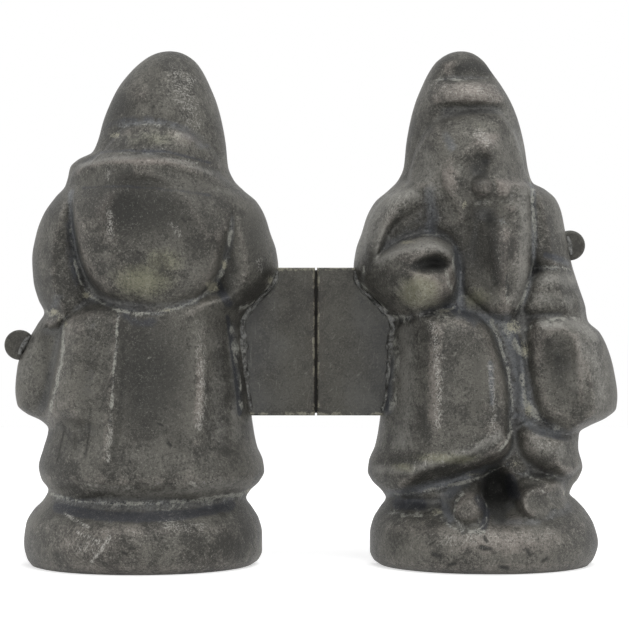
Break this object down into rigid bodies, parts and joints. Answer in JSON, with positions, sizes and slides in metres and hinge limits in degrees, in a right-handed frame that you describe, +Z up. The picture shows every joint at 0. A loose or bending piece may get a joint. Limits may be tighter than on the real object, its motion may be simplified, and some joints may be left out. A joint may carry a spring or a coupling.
{
  "type": "two-part hinged chocolate mold",
  "caption": "Cast pewter figure mold in two hinged hollow halves, open flat, shaped outside as a hooded gift-bringer with a pack basket, for casting chocolate or ice cream.",
  "frame": {"origin": "bottom centre of the overall box of the mold, opened flat: in the plane of the foot rims, halfway along X and halfway along Y", "axes": "+X along the two halves from the back half to the front half, +Z up from foot to hood tip and parallel to the hinge pin, -Y the way the outsides face, +Y the way the hollows face"},
  "size_m": [0.143, 0.0288, 0.1196],
  "materials": {
    "pewter": "dull cast pewter, dark and mottled with age",
    "hinge_metal": "dull grey sheet and wire metal, darkened",
    "solder": "dull tin-lead solder, lumpy"
  },
  "bodies": {
    "back_half": {"back_shell": "pewter", "back_hinge_leaf": "hinge_metal", "back_lower_knuckle": "hinge_metal", "back_upper_knuckle": "hinge_metal", "hinge_pin": "hinge_metal", "back_leaf_solder": "solder", "back_opening_lug": "pewter", "back_lug_solder": "solder"},
    "front_half": {"front_shell": "pewter", "front_hinge_leaf": "hinge_metal", "front_middle_knuckle": "hinge_metal", "front_leaf_solder": "solder", "front_opening_lug": "pewter", "front_lug_solder": "solder"}
  },
  "joints": [
    {"name": "hinge", "type": "hinge", "parent": "back_half", "child": "front_half", "pos_m": [0.00112, 0.01295, 0.0518], "axis": [0, 0, 1], "range_deg": [0, 180]}
  ]
}
